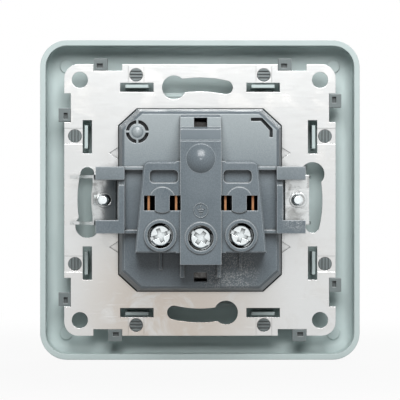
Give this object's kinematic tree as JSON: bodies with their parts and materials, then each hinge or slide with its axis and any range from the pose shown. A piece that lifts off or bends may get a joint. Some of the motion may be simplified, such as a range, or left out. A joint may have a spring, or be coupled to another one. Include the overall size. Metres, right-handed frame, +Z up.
{
  "type": "wall socket outlet",
  "caption": "Flush wall socket outlet with a round plug well, side earth clips, a pressed steel support plate, screw terminals and spreading claws behind a square cover frame.",
  "frame": {"origin": "centre of the support plate's wall face", "axes": "+X right and +Z up as seen from behind, +Y out of the wall into the room"},
  "size_m": [0.083, 0.04, 0.083],
  "materials": {
    "cover_plastic": "satin moulded",
    "base_plastic": "fine moulded",
    "plate_steel": "zinc plated sheet",
    "claw_steel": "zinc plated sheet",
    "screw_zinc": "bright zinc",
    "earth_steel": "tinned strip",
    "contact_brass": "copper alloy strip"
  },
  "bodies": {
    "socket": {"cover_frame": "cover_plastic", "centre_cover": "cover_plastic", "base": "base_plastic", "base_ring": "base_plastic", "support_plate": "plate_steel", "earth_bracket": "earth_steel", "centre_screw": "screw_zinc", "earth_clamp_plate": "screw_zinc", "frame_clip_top": "base_plastic", "frame_clip_right": "base_plastic", "frame_clip_bottom": "base_plastic", "frame_clip_left": "base_plastic", "line_contact_left": "contact_brass", "clamp_plate_left": "screw_zinc", "line_contact_right": "contact_brass", "clamp_plate_right": "screw_zinc"},
    "claw_left": {"claw_left": "claw_steel"},
    "claw_right": {"claw_right": "claw_steel"},
    "claw_screw_left": {"claw_screw_left": "screw_zinc"},
    "claw_screw_right": {"claw_screw_right": "screw_zinc"},
    "terminal_screw_left": {"terminal_screw_left": "screw_zinc"},
    "terminal_screw_right": {"terminal_screw_right": "screw_zinc"},
    "earth_screw": {"earth_screw": "screw_zinc"}
  },
  "joints": [
    {"name": "claw_screw_left_turn", "type": "hinge", "parent": "socket", "child": "claw_screw_left", "pos_m": [-0.02435, 0, 0], "axis": [0, -1, 0], "range_deg": [-880, 80]},
    {"name": "claw_left_swing", "type": "hinge", "parent": "socket", "child": "claw_left", "pos_m": [-0.02145, -0.0155, 0], "axis": [0, 0, 1], "range_deg": [-22, 2]},
    {"name": "claw_screw_right_turn", "type": "hinge", "parent": "socket", "child": "claw_screw_right", "pos_m": [0.02435, 0, 0], "axis": [0, -1, 0], "range_deg": [0, 960]},
    {"name": "claw_right_swing", "type": "hinge", "parent": "socket", "child": "claw_right", "pos_m": [0.02145, -0.0155, 0], "axis": [0, 0, -1], "range_deg": [0, 24]},
    {"name": "terminal_screw_left_turn", "type": "hinge", "parent": "socket", "child": "terminal_screw_left", "pos_m": [-0.01, -0.022, -0.0088], "axis": [0, 1, 0], "continuous": true},
    {"name": "terminal_screw_right_turn", "type": "hinge", "parent": "socket", "child": "terminal_screw_right", "pos_m": [0.01, -0.022, -0.0088], "axis": [0, 1, 0], "continuous": true},
    {"name": "earth_screw_turn", "type": "hinge", "parent": "socket", "child": "earth_screw", "pos_m": [0, -0.022, -0.0094], "axis": [0, 1, 0], "continuous": true}
  ],
  "couplings": [
    {"joint": "claw_left_swing", "follows": "claw_screw_left_turn", "ratio": 0.025},
    {"joint": "claw_right_swing", "follows": "claw_screw_right_turn", "ratio": 0.025}
  ]
}
